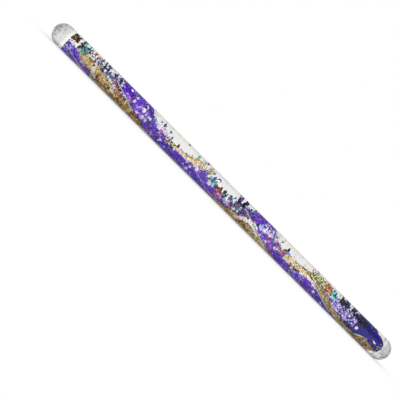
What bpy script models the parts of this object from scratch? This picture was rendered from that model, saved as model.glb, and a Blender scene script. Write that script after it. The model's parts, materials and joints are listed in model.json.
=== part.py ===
"""Glitter sensory wand.

A clear tube closed by two domed plugs holds oil, a twisted clear divider, two charges of fine glitter
and loose foil confetti. The wand lies along X with its top plug at -X. Z is up, and the origin is the
middle of the tube's axis.
"""

import math

import bmesh
import bpy
from mathutils import Matrix

# Driving dimensions in metres: the casing
OVERALL_LENGTH = 0.320
TUBE_DIAMETER = 0.016
TUBE_WALL = 0.0015
DOME_HEIGHT = 0.008
TOP_SPIGOT_LENGTH = 0.0044
BOTTOM_SPIGOT_LENGTH = 0.005
SPIGOT_CHAMFER = 0.0006
EDGE_BREAK = 0.0002

# The dish in the bottom plug: a lead-in cone from the rim, then a hemisphere
DISH_LIP = 0.0005
DISH_MOUTH_DEPTH = 0.0017
DISH_WALL = 0.0005

# The sealing rings and how far they sit behind the plugs' shoulders
SEAL_THICKNESS = 0.0009
SEAL_WIDTH = 0.0012
SEAL_SETBACK = 0.0008

# The twisted divider. It turns right-handed about +X, and its angle is measured from +Y toward +Z
DIVIDER_THICKNESS = 0.0008
DIVIDER_TURNS = 2.5
DIVIDER_TOP_ANGLE = math.radians(19.5)
DIVIDER_EDGE_SLACK = 0.0001

# Settled glitter: its level follows the channel up and down, as shares of the bore's radius
LEVEL_MIDDLE = -0.03
LEVEL_SWING = 0.37

# Free travel of the contents toward each plug
DRIFT = 0.006

# Confetti
FLAKE_THICKNESS = 0.0002
STAR_RADIUS = 0.0016
STAR_POINTS = 5
STAR_WAIST = 0.42
MOON_RADIUS = 0.0016
MOON_BITE_RADIUS = 0.0014
MOON_BITE_OFFSET = 0.0008
HEXAGON_RADIUS = 0.0012

# Gaps: what neighbouring pieces keep, and the wider one beside the divider's twisted faces
CLEARANCE = 0.0003
DIVIDER_CLEARANCE = 0.0005

# Fineness of round and twisted surfaces
FACETS = 32
DOME_STEPS = 8
DISH_STEPS = 6
STATIONS_PER_TURN = 24
DIVIDER_STRIPS = 6
CHANNEL_STRIPS = 10
MOON_STEPS = 7
POCKET_SIDES = 8
MERGE_DISTANCE = 1e-6

# Sizes that follow
END_X = OVERALL_LENGTH / 2
SHOULDER_X = END_X - DOME_HEIGHT
DOME_RIM_X = SHOULDER_X + EDGE_BREAK
DOME_RISE = DOME_HEIGHT - EDGE_BREAK
TUBE_END_X = SHOULDER_X - CLEARANCE
TUBE_RADIUS = TUBE_DIAMETER / 2
BORE_RADIUS = TUBE_RADIUS - TUBE_WALL
FLAT_SHARE = math.cos(math.pi / FACETS)
SPIGOT_RADIUS = BORE_RADIUS - CLEARANCE
GROOVE_RADIUS = SPIGOT_RADIUS - SEAL_THICKNESS - CLEARANCE
GROOVE_WIDTH = SEAL_WIDTH + 2 * CLEARANCE
TOP_FACE_X = -(SHOULDER_X - TOP_SPIGOT_LENGTH)
BOTTOM_RIM_X = SHOULDER_X - BOTTOM_SPIGOT_LENGTH
DISH_RADIUS = GROOVE_RADIUS - DISH_WALL
DISH_MOUTH_RADIUS = SPIGOT_RADIUS - DISH_LIP
DISH_CENTRE_X = BOTTOM_RIM_X + DISH_MOUTH_DEPTH

# The space between the plugs, less the gap to them and to the bore
FILL_RADIUS = BORE_RADIUS - CLEARANCE
FILL_TOP_X = TOP_FACE_X + CLEARANCE
FILL_RIM_X = BOTTOM_RIM_X - CLEARANCE
FILL_TIP_X = DISH_CENTRE_X + DISH_RADIUS - CLEARANCE
FILL_MIDDLE_X = (FILL_TOP_X + FILL_TIP_X) / 2
PITCH = (FILL_TIP_X - FILL_TOP_X) / DIVIDER_TURNS
CUT_MARGIN = PITCH / STATIONS_PER_TURN

DIVIDER_WIDTH = 2 * (FILL_RADIUS * FLAT_SHARE - DIVIDER_EDGE_SLACK)
STRIP_WIDTH = DIVIDER_WIDTH / DIVIDER_STRIPS
CHANNEL_FLOOR = DIVIDER_THICKNESS / 2 + DIVIDER_CLEARANCE
CHARGE_TOP_X = FILL_TOP_X + DRIFT
CHARGE_END_X = FILL_RIM_X - DRIFT

# Side of the divider that each channel lies on: a quarter turn behind or ahead of its edge
CHANNEL_QUARTER = {"purple": -1, "gold": 1}

# Loose confetti: name, outline, turns of the divider from the top plug, lean from straight up toward the
# front (-Y) in degrees, colour
CONFETTI = (
    ("black_hexagon_1", "hexagon", 0.08, 14, "black"),
    ("teal_hexagon_1", "hexagon", 0.14, 25, "teal"),
    ("orange_hexagon", "hexagon", 0.19, 30, "orange"),
    ("silver_star_1", "star", 0.40, -32, "silver"),
    ("silver_star_2", "star", 0.50, 38, "silver"),
    ("silver_moon_1", "moon", 0.57, 40, "silver"),
    ("teal_star_1", "star", 0.76, -6, "teal"),
    ("blue_star", "star", 0.83, -35, "blue"),
    ("black_hexagon_2", "hexagon", 0.89, 7, "black"),
    ("magenta_moon", "moon", 0.94, -28, "magenta"),
    ("green_star_1", "star", 0.975, 25, "green"),
    ("black_hexagon_3", "hexagon", 1.04, 8, "black"),
    ("teal_hexagon_2", "hexagon", 1.10, 38, "teal"),
    ("black_moon_1", "moon", 1.15, 50, "black"),
    ("green_star_2", "star", 1.30, 6, "green"),
    ("teal_star_2", "star", 1.365, -32, "teal"),
    ("black_hexagon_4", "hexagon", 1.36, 18, "black"),
    ("blue_hexagon", "hexagon", 1.415, 32, "blue"),
    ("black_hexagon_5", "hexagon", 1.47, 20, "black"),
    ("silver_star_3", "star", 1.485, -26, "silver"),
    ("magenta_hexagon", "hexagon", 1.545, 28, "magenta"),
    ("teal_star_3", "star", 1.605, 48, "teal"),
    ("green_moon", "moon", 1.86, -30, "green"),
    ("silver_star_4", "star", 1.96, -35, "silver"),
    ("teal_hexagon_3", "hexagon", 2.065, 25, "teal"),
    ("black_moon_2", "moon", 2.14, 34, "black"),
    ("black_hexagon_6", "hexagon", 2.285, 3, "black"),
    ("red_hexagon", "hexagon", 2.345, -28, "red"),
    ("silver_moon_2", "moon", 2.375, 28, "silver"),
)
# One flake of each channel drifts straight along the tube while the rest spiral with their charge
STRAIGHT_DRIFTERS = ("black_hexagon_3", "black_hexagon_5")
GOLDEN_ANGLE = math.pi * (3 - math.sqrt(5))

# Colours as linear red, green, blue, with the roughness and metallic value of each surface
SURFACES = {
    "acrylic": ((0.86, 0.90, 0.91), 0.06, 0.0),
    "clear_strip": ((0.90, 0.93, 0.94), 0.10, 0.0),
    "silicone": ((0.62, 0.64, 0.64), 0.50, 0.0),
    "oil": ((0.88, 0.92, 0.90), 0.05, 0.0),
    "purple_glitter": ((0.085, 0.035, 0.42), 0.35, 0.6),
    "gold_glitter": ((0.50, 0.30, 0.06), 0.35, 0.7),
    "silver": ((0.85, 0.87, 0.90), 0.25, 0.9),
    "teal": ((0.02, 0.38, 0.36), 0.25, 0.8),
    "green": ((0.06, 0.26, 0.08), 0.25, 0.8),
    "blue": ((0.05, 0.12, 0.50), 0.25, 0.8),
    "red": ((0.36, 0.05, 0.04), 0.25, 0.8),
    "orange": ((0.62, 0.20, 0.03), 0.25, 0.8),
    "magenta": ((0.48, 0.04, 0.34), 0.25, 0.8),
    "black": ((0.02, 0.02, 0.03), 0.25, 0.6),
}


def clear_scene():
    for thing in list(bpy.data.objects):
        bpy.data.objects.remove(thing, do_unlink=True)


def new_collection(name):
    group = bpy.data.collections.new(name)
    bpy.context.scene.collection.children.link(group)
    return group


def material(name):
    made = bpy.data.materials.get(name)
    if made is None:
        colour, roughness, metallic = SURFACES[name]
        made = bpy.data.materials.new(name)
        made.use_nodes = True
        shader = made.node_tree.nodes["Principled BSDF"]
        shader.inputs["Base Color"].default_value = (*colour, 1.0)
        shader.inputs["Roughness"].default_value = roughness
        shader.inputs["Metallic"].default_value = metallic
    return made


def new_object(name, mesh_builder, group, surface=None):
    """An object from a bmesh. One with no surface is a cutter, which only shapes other pieces."""
    mesh = bpy.data.meshes.new(name)
    mesh_builder.to_mesh(mesh)
    mesh_builder.free()
    made = bpy.data.objects.new(name, mesh)
    group.objects.link(made)
    if surface:
        mesh.materials.append(material(surface))
    else:
        made.hide_render = True
        made.display_type = "WIRE"
    return made


def boolean(target, operation, cutter):
    step = target.modifiers.new(f"{operation.lower()} {cutter.name}", "BOOLEAN")
    step.operation = operation
    step.solver = "EXACT"
    step.object = cutter


def turned(name, profile, closed, group, surface=None):
    """A solid turned about X from (x, radius) points, which run from +X to -X along its outer side."""
    half_facet = math.pi / FACETS
    builder = bmesh.new()
    points = [
        builder.verts.new((radius * math.cos(half_facet), radius * math.sin(half_facet), x))
        for x, radius in profile
    ]
    for first, second in zip(points, points[1:]):
        builder.edges.new((first, second))
    if closed:
        builder.edges.new((points[-1], points[0]))
    made = new_object(name, builder, group, surface)
    made.rotation_euler.y = math.pi / 2
    screw = made.modifiers.new("turn", "SCREW")
    screw.axis = "Z"
    screw.angle = 2 * math.pi
    screw.steps = FACETS
    screw.render_steps = FACETS
    screw.use_merge_vertices = True
    screw.merge_threshold = MERGE_DISTANCE
    screw.use_smooth_shade = True
    made.modifiers.new("even shading", "WEIGHTED_NORMAL")
    return made


def arc(centre_x, along, radius, start, end, steps):
    """Points of an elliptical arc in (x, radius). Angle 0 points along +X and a right angle outward."""
    points = []
    for step in range(steps + 1):
        angle = start + (end - start) * step / steps
        points.append((centre_x + along * math.cos(angle), radius * math.sin(angle)))
    return points


def build_tube(parts):
    bore, outside, end, edge = BORE_RADIUS, TUBE_RADIUS, TUBE_END_X, EDGE_BREAK
    profile = [
        (end, bore),
        (end, outside - edge),
        (end - edge, outside),
        (edge - end, outside),
        (-end, outside - edge),
        (-end, bore),
    ]
    turned("tube", profile, True, parts, "acrylic")


def groove(shoulder_x, direction):
    """The seal's groove in a spigot, as it is met going away from the shoulder."""
    near = shoulder_x + direction * SEAL_SETBACK
    far = near + direction * GROOVE_WIDTH
    return [(near, SPIGOT_RADIUS), (near, GROOVE_RADIUS), (far, GROOVE_RADIUS), (far, SPIGOT_RADIUS)]


def build_top_plug(parts):
    face, shoulder = TOP_FACE_X, -SHOULDER_X
    profile = [
        (face, 0.0),
        (face, SPIGOT_RADIUS - SPIGOT_CHAMFER),
        (face - SPIGOT_CHAMFER, SPIGOT_RADIUS),
    ]
    profile += reversed(groove(shoulder, 1))
    profile += [(shoulder, SPIGOT_RADIUS), (shoulder, TUBE_RADIUS - EDGE_BREAK)]
    profile += arc(-DOME_RIM_X, DOME_RISE, TUBE_RADIUS, math.pi / 2, math.pi, DOME_STEPS)
    turned("top_plug", profile, False, parts, "acrylic")


def build_bottom_plug(parts):
    shoulder, rim = SHOULDER_X, BOTTOM_RIM_X
    profile = arc(DOME_RIM_X, DOME_RISE, TUBE_RADIUS, 0.0, math.pi / 2, DOME_STEPS)
    profile += [(shoulder, TUBE_RADIUS - EDGE_BREAK), (shoulder, SPIGOT_RADIUS)]
    profile += groove(shoulder, -1)
    profile += [(rim, SPIGOT_RADIUS), (rim, DISH_MOUTH_RADIUS)]
    profile += arc(DISH_CENTRE_X, DISH_RADIUS, DISH_RADIUS, math.pi / 2, 0.0, DISH_STEPS)
    turned("bottom_plug", profile, False, parts, "acrylic")


def build_seal(name, direction, parts):
    """A ring in the groove of the plug that lies toward the direction along X."""
    middle = direction * (SHOULDER_X - SEAL_SETBACK - GROOVE_WIDTH / 2)
    inner = SPIGOT_RADIUS - SEAL_THICKNESS
    crown = SEAL_WIDTH / 4
    profile = [
        (middle + SEAL_WIDTH / 2, inner),
        (middle + SEAL_WIDTH / 2, SPIGOT_RADIUS - crown),
        (middle + crown, SPIGOT_RADIUS),
        (middle - crown, SPIGOT_RADIUS),
        (middle - SEAL_WIDTH / 2, SPIGOT_RADIUS - crown),
        (middle - SEAL_WIDTH / 2, inner),
    ]
    turned(name, profile, True, parts, "silicone")


def fill_space(cutters):
    """The space inside the tube and between the plugs, which trims all that it holds."""
    dish = DISH_RADIUS - CLEARANCE
    profile = arc(DISH_CENTRE_X, dish, dish, 0.0, math.pi / 2, DISH_STEPS)
    profile += [
        (FILL_RIM_X, DISH_MOUTH_RADIUS - CLEARANCE / 2),
        (FILL_RIM_X, FILL_RADIUS),
        (FILL_TOP_X + SPIGOT_CHAMFER, FILL_RADIUS),
        (FILL_TOP_X, FILL_RADIUS - SPIGOT_CHAMFER),
        (FILL_TOP_X, 0.0),
    ]
    return turned("fill_space", profile, False, cutters)


def edge_span(edge, axis):
    return abs(edge.verts[0].co[axis] - edge.verts[1].co[axis])


def twisted_bar(name, strips, floor, ceiling, group, surface):
    """A bar along the whole bore, strips wide and from floor to ceiling thick, twisted as the divider."""
    length = FILL_TIP_X - FILL_TOP_X + 2 * CUT_MARGIN
    turns = length / PITCH
    builder = bmesh.new()
    bmesh.ops.create_cube(builder, size=1.0)
    bmesh.ops.translate(builder, verts=builder.verts, vec=(0.0, 0.0, 0.5))
    bmesh.ops.scale(builder, verts=builder.verts, vec=(length, strips * STRIP_WIDTH, ceiling - floor))
    bmesh.ops.translate(builder, verts=builder.verts, vec=(0.0, 0.0, floor))
    for axis, cuts in ((0, round(turns * STATIONS_PER_TURN) - 1), (1, strips - 1)):
        edges = [edge for edge in builder.edges if edge_span(edge, axis) > MERGE_DISTANCE]
        bmesh.ops.subdivide_edges(builder, edges=edges, cuts=cuts, use_grid_fill=True)
    made = new_object(name, builder, group, surface)
    made.location.x = FILL_MIDDLE_X
    made.rotation_euler.x = DIVIDER_TOP_ANGLE + math.pi * DIVIDER_TURNS
    twist = made.modifiers.new("twist", "SIMPLE_DEFORM")
    twist.deform_method = "TWIST"
    twist.deform_axis = "X"
    twist.angle = 2 * math.pi * turns
    flat_faces = made.modifiers.new("flat faces", "TRIANGULATE")
    flat_faces.quad_method = "FIXED"
    return made


def build_divider(parts, space):
    half = DIVIDER_THICKNESS / 2
    divider = twisted_bar("divider", DIVIDER_STRIPS, -half, half, parts, "clear_strip")
    boolean(divider, "INTERSECT", space)


def divider_angle(x):
    """Where the divider's edge points at x, from +Y toward +Z."""
    return DIVIDER_TOP_ANGLE + 2 * math.pi * (x - FILL_TOP_X) / PITCH


def glitter_level(side, x):
    """Height of the settled glitter: high where its channel lies above the divider, low below it."""
    upward = math.sin(divider_angle(x) + CHANNEL_QUARTER[side] * math.pi / 2)
    return BORE_RADIUS * (LEVEL_MIDDLE + LEVEL_SWING * upward)


def level_block(name, side, grow, cutters):
    """All that lies below the glitter's level, grown upward and toward the ends."""
    start, end = CHARGE_TOP_X - grow, CHARGE_END_X + grow
    stations = round((end - start) / PITCH * STATIONS_PER_TURN)
    builder = bmesh.new()
    outline = [builder.verts.new((x, 0.0, -TUBE_DIAMETER)) for x in (start, end)]
    for station in range(stations, -1, -1):
        x = start + (end - start) * station / stations
        outline.append(builder.verts.new((x, 0.0, glitter_level(side, x) + grow)))
    builder.faces.new(outline)
    block = new_object(name, builder, cutters)
    thick = block.modifiers.new("thickness", "SOLIDIFY")
    thick.thickness = 2 * TUBE_DIAMETER
    thick.offset = 0.0
    return block


def regular_outline(radius, corners):
    angles = [2 * math.pi * corner / corners for corner in range(corners)]
    return [(radius * math.cos(angle), radius * math.sin(angle)) for angle in angles]


def star_outline():
    points = regular_outline(STAR_RADIUS, 2 * STAR_POINTS)
    for waist in range(1, 2 * STAR_POINTS, 2):
        x, y = points[waist]
        points[waist] = (x * STAR_WAIST, y * STAR_WAIST)
    return points


def moon_outline():
    """A crescent: a disc with a smaller disc bitten out of its side."""
    horn_x = (MOON_RADIUS**2 - MOON_BITE_RADIUS**2 + MOON_BITE_OFFSET**2) / (2 * MOON_BITE_OFFSET)
    back = math.acos(horn_x / MOON_RADIUS)
    bite = math.acos((horn_x - MOON_BITE_OFFSET) / MOON_BITE_RADIUS)
    points = []
    for step in range(MOON_STEPS + 1):
        angle = back + (2 * math.pi - 2 * back) * step / MOON_STEPS
        points.append((MOON_RADIUS * math.cos(angle), MOON_RADIUS * math.sin(angle)))
    for step in range(1, MOON_STEPS):
        angle = -bite - (2 * math.pi - 2 * bite) * step / MOON_STEPS
        points.append(
            (MOON_BITE_OFFSET + MOON_BITE_RADIUS * math.cos(angle), MOON_BITE_RADIUS * math.sin(angle))
        )
    return points


FLAKE_SHAPES = {
    "star": (star_outline(), STAR_RADIUS),
    "moon": (moon_outline(), MOON_RADIUS),
    "hexagon": (regular_outline(HEXAGON_RADIUS, 6), HEXAGON_RADIUS),
}


def flake_height(radius):
    """Distance from the axis to a flake whose corners lie the clearance inside the bore."""
    reach = FILL_RADIUS * FLAT_SHARE
    return math.sqrt(reach**2 - radius**2) - FLAKE_THICKNESS / 2


def flake_x(turns):
    return FILL_TOP_X + PITCH * turns


def side_of(turns, lean):
    """The channel that a flake lies in."""
    up_from_edge = math.pi / 2 + math.radians(lean) - divider_angle(flake_x(turns))
    return "gold" if math.sin(up_from_edge) > 0 else "purple"


def build_flake(name, shape, turns, lean, colour, spin, group, carrier):
    outline, radius = FLAKE_SHAPES[shape]
    builder = bmesh.new()
    corners = []
    for x, y in outline:
        turned_x = x * math.cos(spin) - y * math.sin(spin)
        turned_y = x * math.sin(spin) + y * math.cos(spin)
        corners.append(builder.verts.new((turned_x, turned_y, flake_height(radius))))
    builder.faces.new(corners)
    flake = new_object(name, builder, group, colour)
    flake.location.x = flake_x(turns)
    flake.rotation_euler.x = math.radians(lean)
    flake.parent = carrier
    thick = flake.modifiers.new("thickness", "SOLIDIFY")
    thick.thickness = FLAKE_THICKNESS
    thick.offset = 0.0


def pocket_cutter(side, cutters):
    """Pockets for one channel's flakes, each from just under its flake out through the bore."""
    builder = bmesh.new()
    for name, shape, turns, lean, colour in CONFETTI:
        if side_of(turns, lean) != side:
            continue
        radius = FLAKE_SHAPES[shape][1]
        low = flake_height(radius) - FLAKE_THICKNESS / 2 - CLEARANCE
        wide = (radius + CLEARANCE) / math.cos(math.pi / POCKET_SIDES)
        made = bmesh.ops.create_cone(
            builder,
            segments=POCKET_SIDES,
            cap_ends=True,
            radius1=wide,
            radius2=wide,
            depth=TUBE_RADIUS - low,
        )["verts"]
        bmesh.ops.translate(builder, verts=made, vec=(flake_x(turns), 0.0, (TUBE_RADIUS + low) / 2))
        about_axis = Matrix.Rotation(math.radians(lean), 3, "X")
        bmesh.ops.rotate(builder, verts=made, cent=(0.0, 0.0, 0.0), matrix=about_axis)
    return new_object(f"{side}_pockets", builder, cutters)


def build_charge(side, parts, cutters, space, carrier):
    """One channel's oil and settled glitter: the space beside the divider, split at the level."""
    quarter = CHANNEL_QUARTER[side]
    floor, ceiling = sorted((quarter * CHANNEL_FLOOR, quarter * TUBE_DIAMETER))
    glitter = twisted_bar(f"{side}_glitter", CHANNEL_STRIPS, floor, ceiling, parts, f"{side}_glitter")
    oil = twisted_bar(f"{side}_oil", CHANNEL_STRIPS, floor, ceiling, parts, "oil")
    glitter.parent = carrier
    boolean(glitter, "INTERSECT", space)
    boolean(glitter, "INTERSECT", level_block(f"{side}_level", side, 0.0, cutters))
    boolean(oil, "INTERSECT", space)
    boolean(oil, "DIFFERENCE", level_block(f"{side}_level_grown", side, CLEARANCE, cutters))
    boolean(oil, "DIFFERENCE", pocket_cutter(side, cutters))


def build_carriers(parts):
    """Empties on the tube's axis: for each channel one that drifts along it and one that turns on that."""
    carriers = {}
    for side in CHANNEL_QUARTER:
        for motion in ("drift", "spiral"):
            carriers[side, motion] = bpy.data.objects.new(f"{side}_{motion}", None)
            parts.objects.link(carriers[side, motion])
        carriers[side, "spiral"].parent = carriers[side, "drift"]
    return carriers


def build_confetti(parts, carriers):
    for count, (name, shape, turns, lean, colour) in enumerate(CONFETTI):
        motion = "drift" if name in STRAIGHT_DRIFTERS else "spiral"
        carrier = carriers[side_of(turns, lean), motion]
        build_flake(name, shape, turns, lean, colour, count * GOLDEN_ANGLE, parts, carrier)


def main():
    clear_scene()
    parts = new_collection("glitter_sensory_wand")
    cutters = new_collection("cutters")
    space = fill_space(cutters)
    build_tube(parts)
    build_top_plug(parts)
    build_bottom_plug(parts)
    build_seal("top_seal", -1, parts)
    build_seal("bottom_seal", 1, parts)
    build_divider(parts, space)
    carriers = build_carriers(parts)
    for side in CHANNEL_QUARTER:
        build_charge(side, parts, cutters, space, carriers[side, "spiral"])
    build_confetti(parts, carriers)


main()
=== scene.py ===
"""Looks of the glitter sensory wand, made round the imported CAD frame.

The wand lies along X with its top plug at -X, and Z is up. Lengths are in millimetres until a mesh is made.
Angles round the tube are measured from +Y, the back, toward +Z, so that a half turn is the front.
"""

import json
import math

import bpy
import numpy as np
from mathutils import Matrix, Vector, noise

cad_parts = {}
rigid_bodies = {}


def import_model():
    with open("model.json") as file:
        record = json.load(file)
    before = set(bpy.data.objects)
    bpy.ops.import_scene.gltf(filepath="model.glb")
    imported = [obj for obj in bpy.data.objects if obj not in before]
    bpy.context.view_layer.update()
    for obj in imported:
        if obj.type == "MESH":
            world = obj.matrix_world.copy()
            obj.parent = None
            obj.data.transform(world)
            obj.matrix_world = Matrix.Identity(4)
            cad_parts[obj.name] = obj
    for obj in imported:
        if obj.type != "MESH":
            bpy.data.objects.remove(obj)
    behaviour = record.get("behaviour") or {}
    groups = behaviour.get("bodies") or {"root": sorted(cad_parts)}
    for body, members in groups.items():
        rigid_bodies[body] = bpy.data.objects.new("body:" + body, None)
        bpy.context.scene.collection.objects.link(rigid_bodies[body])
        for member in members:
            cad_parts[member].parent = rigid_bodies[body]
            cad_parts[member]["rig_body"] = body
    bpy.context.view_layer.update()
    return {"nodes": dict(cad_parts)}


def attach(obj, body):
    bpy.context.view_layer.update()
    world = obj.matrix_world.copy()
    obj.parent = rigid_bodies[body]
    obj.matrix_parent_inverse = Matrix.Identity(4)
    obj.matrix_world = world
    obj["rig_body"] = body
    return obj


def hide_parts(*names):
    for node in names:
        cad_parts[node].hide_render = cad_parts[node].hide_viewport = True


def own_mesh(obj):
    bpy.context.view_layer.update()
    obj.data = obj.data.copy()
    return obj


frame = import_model()

MM = 0.001
TURN = 2 * math.pi
RIGHT_ANGLE = math.pi / 2

# Sizes of the casing, as in the CAD. Joints that are cemented there are drawn a hair apart
TUBE_RADIUS = 8.0
BORE_RADIUS = 6.5
END_X = 160.0
SHOULDER_X = 152.0
DOME_RIM_X = 152.2
HAIR = 0.02
SPIGOT_RADIUS = BORE_RADIUS - HAIR
CHAMFER = 0.6
EDGE_BREAK = 0.1
TOP_FACE_X = -147.6
RIM_X = 147.0
DISH_X = 148.7
DISH_RADIUS = 4.5
DISH_MOUTH = 5.7
GROOVE_NEAR = 0.8
GROOVE_FAR = 2.6
GROOVE_RADIUS = 5.0
SEAL_MIDDLE_X = 150.3
SEAL_HALF_WIDTH = 0.6
SEAL_INNER = 5.3
SEAL_OUTER = 6.2

# The twisted divider and the channels on its two sides
PITCH = 120.08
FILL_START_X = -147.3
EDGE_START = math.radians(19.5)
DIVIDER_HALF_WIDTH = 6.42
DIVIDER_HALF_THICKNESS = 0.3
DIVIDER_END_X = 152.6
SLIT_BORDER = 0.5
# Where each edge of the strip gets a painted highlight: a white line where it catches the light
EDGE_LIGHT = (((-106, -84), (16, 42)), ((-147, -124), (84, 108)))
CHANNEL_QUARTER = {"purple": -RIGHT_ANGLE, "gold": RIGHT_ANGLE}
CHANNEL_FLOOR = 0.45
CONTENT_RADIUS = 6.05
LOOSE_RADIUS = 6.42

# Reach of the moving charges, and of the glitter that stays at the plugs
CHARGE_START_X = -141.0
CHARGE_END_X = 140.4
# Where the glitter at each plug is pressed to, and the share of its length that is left
TOP_REST = (TOP_FACE_X + 0.1, 0.05)
BOTTOM_REST = (DISH_X + DISH_RADIUS - 0.1, 0.52)

# How full each channel is: x, then the share of its depth
FILL = {
    "purple": (
        (-147, 0.45), (-141, 0.45), (-130, 0.25), (-124, 0.15), (-115, 0.20), (-105, 0.35), (-100, 0.70),
        (-95, 1.0), (-84, 0.97), (-75, 0.82), (-64, 0.46), (-50, 0.55), (-40, 0.80), (-34, 0.92), (-26, 0.85),
        (-18, 0.66), (-10, 0.42), (-4, 0.33), (8, 0.30), (15, 0.34), (26, 0.44), (33, 0.82), (38, 0.94),
        (42, 0.74), (46, 0.54), (52, 0.38), (65, 0.22), (70, 0.26), (75, 0.40), (80, 0.66), (86, 0.90), (92, 0.85),
        (100, 0.60), (105, 0.50), (110, 0.45), (116, 0.46), (120, 0.56), (126, 0.75), (131, 0.92), (136, 1.0),
        (153, 1.0),
    ),
    "gold": (
        (-147, 0.05), (-140, 0.08), (-137, 0.45), (-132, 0.62), (-124, 0.66), (-115, 0.70), (-105, 0.75),
        (-94, 0.90), (-82, 0.80), (-74, 0.45), (-64, 0.20), (-50, 0.06), (-34, 0.03), (-4, 0.03), (5, 0.06),
        (13, 0.20), (17, 0.35), (20, 0.48), (24, 0.60), (30, 0.60), (40, 0.50), (50, 0.44), (56, 0.50), (65, 0.46),
        (72, 0.42), (80, 0.34), (88, 0.26), (97, 0.26), (106, 0.28), (112, 0.22), (117, 0.14), (124, 0.07),
        (130, 0.10), (133, 0.22), (136.4, 0.42), (140, 0.52), (143, 0.50), (146.7, 0.41), (150, 0.30), (153, 0.20),
    ),
}
# Purple that lies under the gold at the top plug
STRAY_FILL = ((-147, 0.15), (-141, 0.24), (-138, 0.26), (-134, 0.19), (-129, 0.11), (-122, 0.05))
STRAY_END_X = -121.5
STRAY_LEAN = math.radians(-24)
# Purple that has packed down on the gold at the bottom plug
PACKED_FILL = ((122, 0.12), (126, 0.30), (130, 0.75), (133, 1.0), (153, 1.0))
PACKED_START_X = 125.0
GOLD_START_X = -137.6
LEAST_FILL = 0.03
REPOSE = math.radians(14)
# Heaps that stay at the plugs start and end here, a little off the charges
TOP_HEAP_X = (-147.1, CHARGE_START_X - 0.2)
BOTTOM_PURPLE_X = (CHARGE_END_X + 0.2, 152.2)
BOTTOM_GOLD_X = (CHARGE_END_X + 0.2, 151.8)
# Room that things keep from the walls round them, and how thick flakes are drawn
OIL_GAP = 0.06
STRIP_GAP = 0.15
HEAP_GAP = 0.2
FLAKE_GAP = 0.08
GLITTER_THICKNESS = 0.05
SCATTER_THICKNESS = 0.08
FOIL_THICKNESS = 0.1
FILM_THICKNESS = 0.02


def srgb(code):
    """Linear colour of an sRGB hex value."""
    shares = [int(code[i : i + 2], 16) / 255 for i in (1, 3, 5)]
    return tuple(s / 12.92 if s <= 0.04045 else ((s + 0.055) / 1.055) ** 2.4 for s in shares) + (1.0,)


def add(tree, kind, inputs=None, stops=(), **settings):
    """A new node with its settings, its inputs' values or links, and a ramp's places and colours.

    An input that is given a node is linked to that node's first output.
    """
    made = tree.nodes.new("ShaderNode" + kind)
    for name, setting in settings.items():
        setattr(made, name, setting)
    for key, given in (inputs or {}).items():
        given = given.outputs[0] if isinstance(given, bpy.types.Node) else given
        if isinstance(given, bpy.types.NodeSocket):
            tree.links.new(given, made.inputs[key])
        else:
            made.inputs[key].default_value = given
    if stops:
        elements = made.color_ramp.elements
        while len(elements) < len(stops):
            elements.new(0.5)
        for element, (place, code) in zip(elements, stops):
            element.position = place
            element.color = srgb(code)
    return made


def new_material(name):
    made = bpy.data.materials.new(name)
    made.use_nodes = True
    made.node_tree.nodes.clear()
    return made


def close_material(made, shader):
    add(made.node_tree, "OutputMaterial", {"Surface": shader})
    return made


# Sizes of the patterns, in millimetres
SMEAR_SIZE = 9.0
SHADE_MOTTLE_SIZE = 2.2
FLASH_BAND_SIZE = 7.0
PATCH_SIZE = 16.0
# Painted shade on the domes: a mottling noise, times this, is added to the place along a dome, and the painted shade
# runs between these two sums
SHADE_MOTTLE_SHIFT = 30.0
SHADE_START_X = END_X + 8
SHADE_END_X = END_X + 17


def clear_plastic(name, code, ior, roughness, tip_shade_code=None):
    """A polished clear plastic. Fine handling smears give its gloss a faint unevenness.

    With a second colour it takes painted shade, in mottled patches, towards the tip of the dome at either end.
    """
    made = new_material(name)
    tree = made.node_tree
    place = add(tree, "TexCoord").outputs["Object"]
    smear = add(tree, "TexNoise", {"Vector": place, "Scale": 1 / (SMEAR_SIZE * MM), "Detail": 3.0})
    smeared = {"Value": smear, "From Min": 0.45, "From Max": 0.75, "To Min": roughness, "To Max": roughness + 0.03}
    gloss = add(tree, "MapRange", smeared)
    finish = {"Base Color": srgb(code), "Roughness": gloss, "Transmission Weight": 1.0, "IOR": ior}
    shader = add(tree, "BsdfPrincipled", finish)
    # Painted shade: the colour darkens, in mottled patches, toward each dome's tip
    if tip_shade_code:
        parts = add(tree, "SeparateXYZ", {"Vector": place})
        far = add(tree, "Math", {0: parts.outputs["X"]}, operation="ABSOLUTE")
        shade_mottle = add(tree, "TexNoise", {"Vector": place, "Scale": 1 / (SHADE_MOTTLE_SIZE * MM), "Detail": 2.0})
        mottled_reach = add(tree, "Math", {0: shade_mottle, 1: SHADE_MOTTLE_SHIFT * MM, 2: far}, operation="MULTIPLY_ADD")
        ends = {"From Min": SHADE_START_X * MM, "From Max": SHADE_END_X * MM}
        depth = add(tree, "MapRange", {"Value": mottled_reach, **ends})
        toned = add(tree, "ValToRGB", {"Fac": depth}, ((0.0, code), (1.0, tip_shade_code)))
        tree.links.new(toned.outputs["Color"], shader.inputs["Base Color"])
    return close_material(made, shader)


def plain(name, code, roughness, ior, alpha):
    """One even colour."""
    made = new_material(name)
    finish = {"Base Color": srgb(code), "Roughness": roughness, "IOR": ior, "Alpha": alpha}
    return close_material(made, add(made.node_tree, "BsdfPrincipled", finish))


def shaded(tree, place, colour, shade):
    """A colour times the shade that its place along the tube has."""
    parts = add(tree, "SeparateXYZ", {"Vector": place})
    ends = {"From Min": -END_X * MM, "From Max": END_X * MM}
    along = add(tree, "MapRange", {"Value": parts.outputs["X"], **ends})
    dark = add(tree, "ValToRGB", {"Fac": along}, shade)
    return add(tree, "MixRGB", {"Fac": 1.0, "Color1": colour, "Color2": dark}, blend_type="MULTIPLY")


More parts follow.
